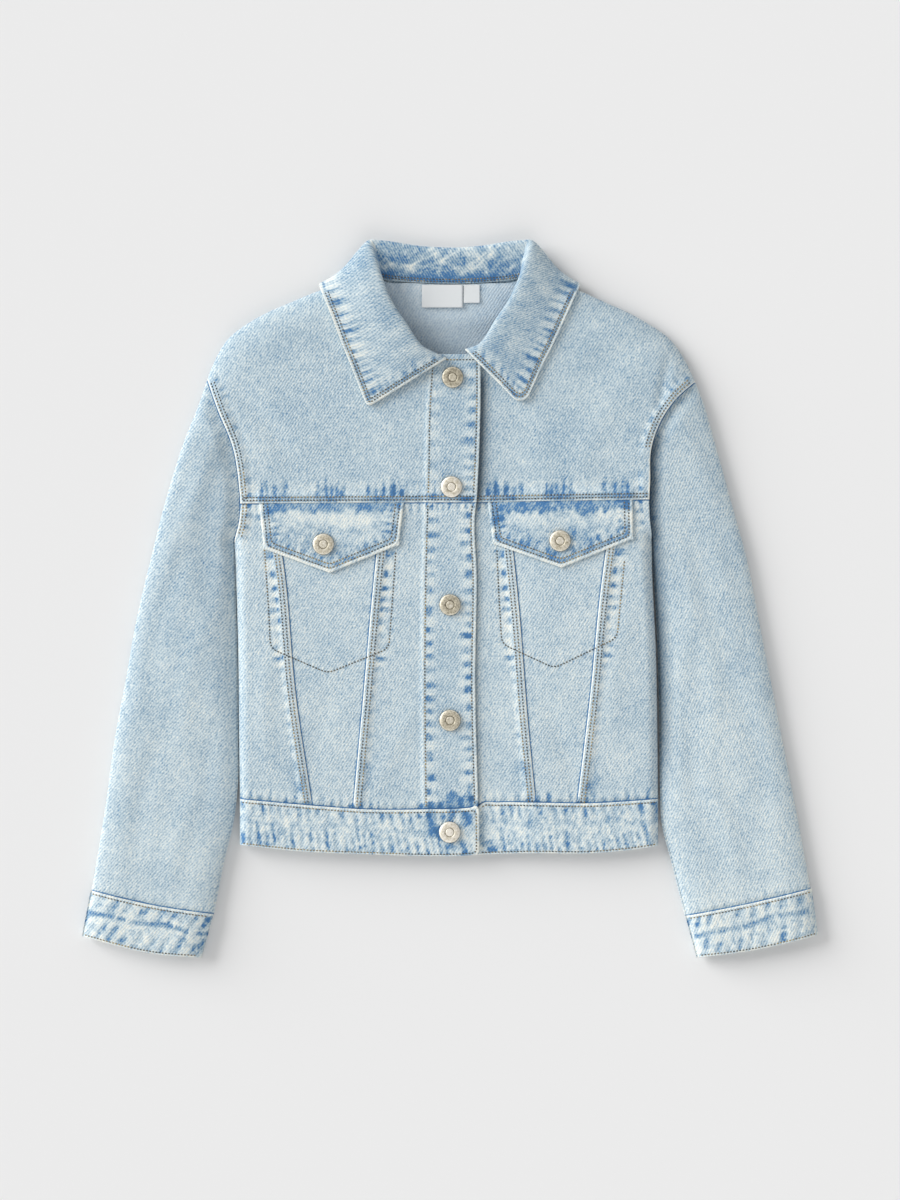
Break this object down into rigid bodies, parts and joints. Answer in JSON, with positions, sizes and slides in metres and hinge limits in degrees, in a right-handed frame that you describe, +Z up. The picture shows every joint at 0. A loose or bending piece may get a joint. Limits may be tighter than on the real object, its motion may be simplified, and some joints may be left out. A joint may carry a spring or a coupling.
{
  "type": "denim jacket",
  "caption": "Child's light-wash denim jacket, buttoned and laid flat on its back, with collar, yokes, V-seamed fronts, flap pockets, waistband and cuffed sleeves.",
  "frame": {"origin": "middle of the laid jacket's footprint, on the surface it lies on", "axes": "+Z up from the surface, +Y from the hem to the collar, +X to the wearer's left"},
  "size_m": [0.625, 0.61, 0.0275],
  "materials": {
    "washed_denim": "light-wash cotton twill, single layer",
    "band_denim": "the same twill doubled, with puckered, worn edges",
    "pocketing": "plain cotton pocket cloth",
    "button_metal": "brass with a dull antique nickel plating",
    "label_satin": "woven off-white satin, bare"
  },
  "bodies": {
    "root": {"back_panel": "washed_denim", "collar": "band_denim", "cuff_left": "band_denim", "cuff_right": "band_denim", "flap_button_left": "button_metal", "flap_button_right": "button_metal", "front_button_1": "button_metal", "front_button_2": "button_metal", "front_button_3": "button_metal", "front_button_4": "button_metal", "front_button_5": "button_metal", "front_centre_panel_left": "washed_denim", "front_centre_panel_right": "washed_denim", "front_middle_panel_left": "washed_denim", "front_middle_panel_right": "washed_denim", "front_side_panel_left": "washed_denim", "front_side_panel_right": "washed_denim", "front_yoke_left": "washed_denim", "front_yoke_right": "washed_denim", "neck_label": "label_satin", "pocket_bag_left": "pocketing", "pocket_bag_right": "pocketing", "pocket_flap_left": "band_denim", "pocket_flap_right": "band_denim", "size_label": "label_satin", "top_sleeve_left": "washed_denim", "top_sleeve_right": "washed_denim", "under_sleeve_left": "washed_denim", "under_sleeve_right": "washed_denim", "waistband": "band_denim"}
  },
  "joints": []
}
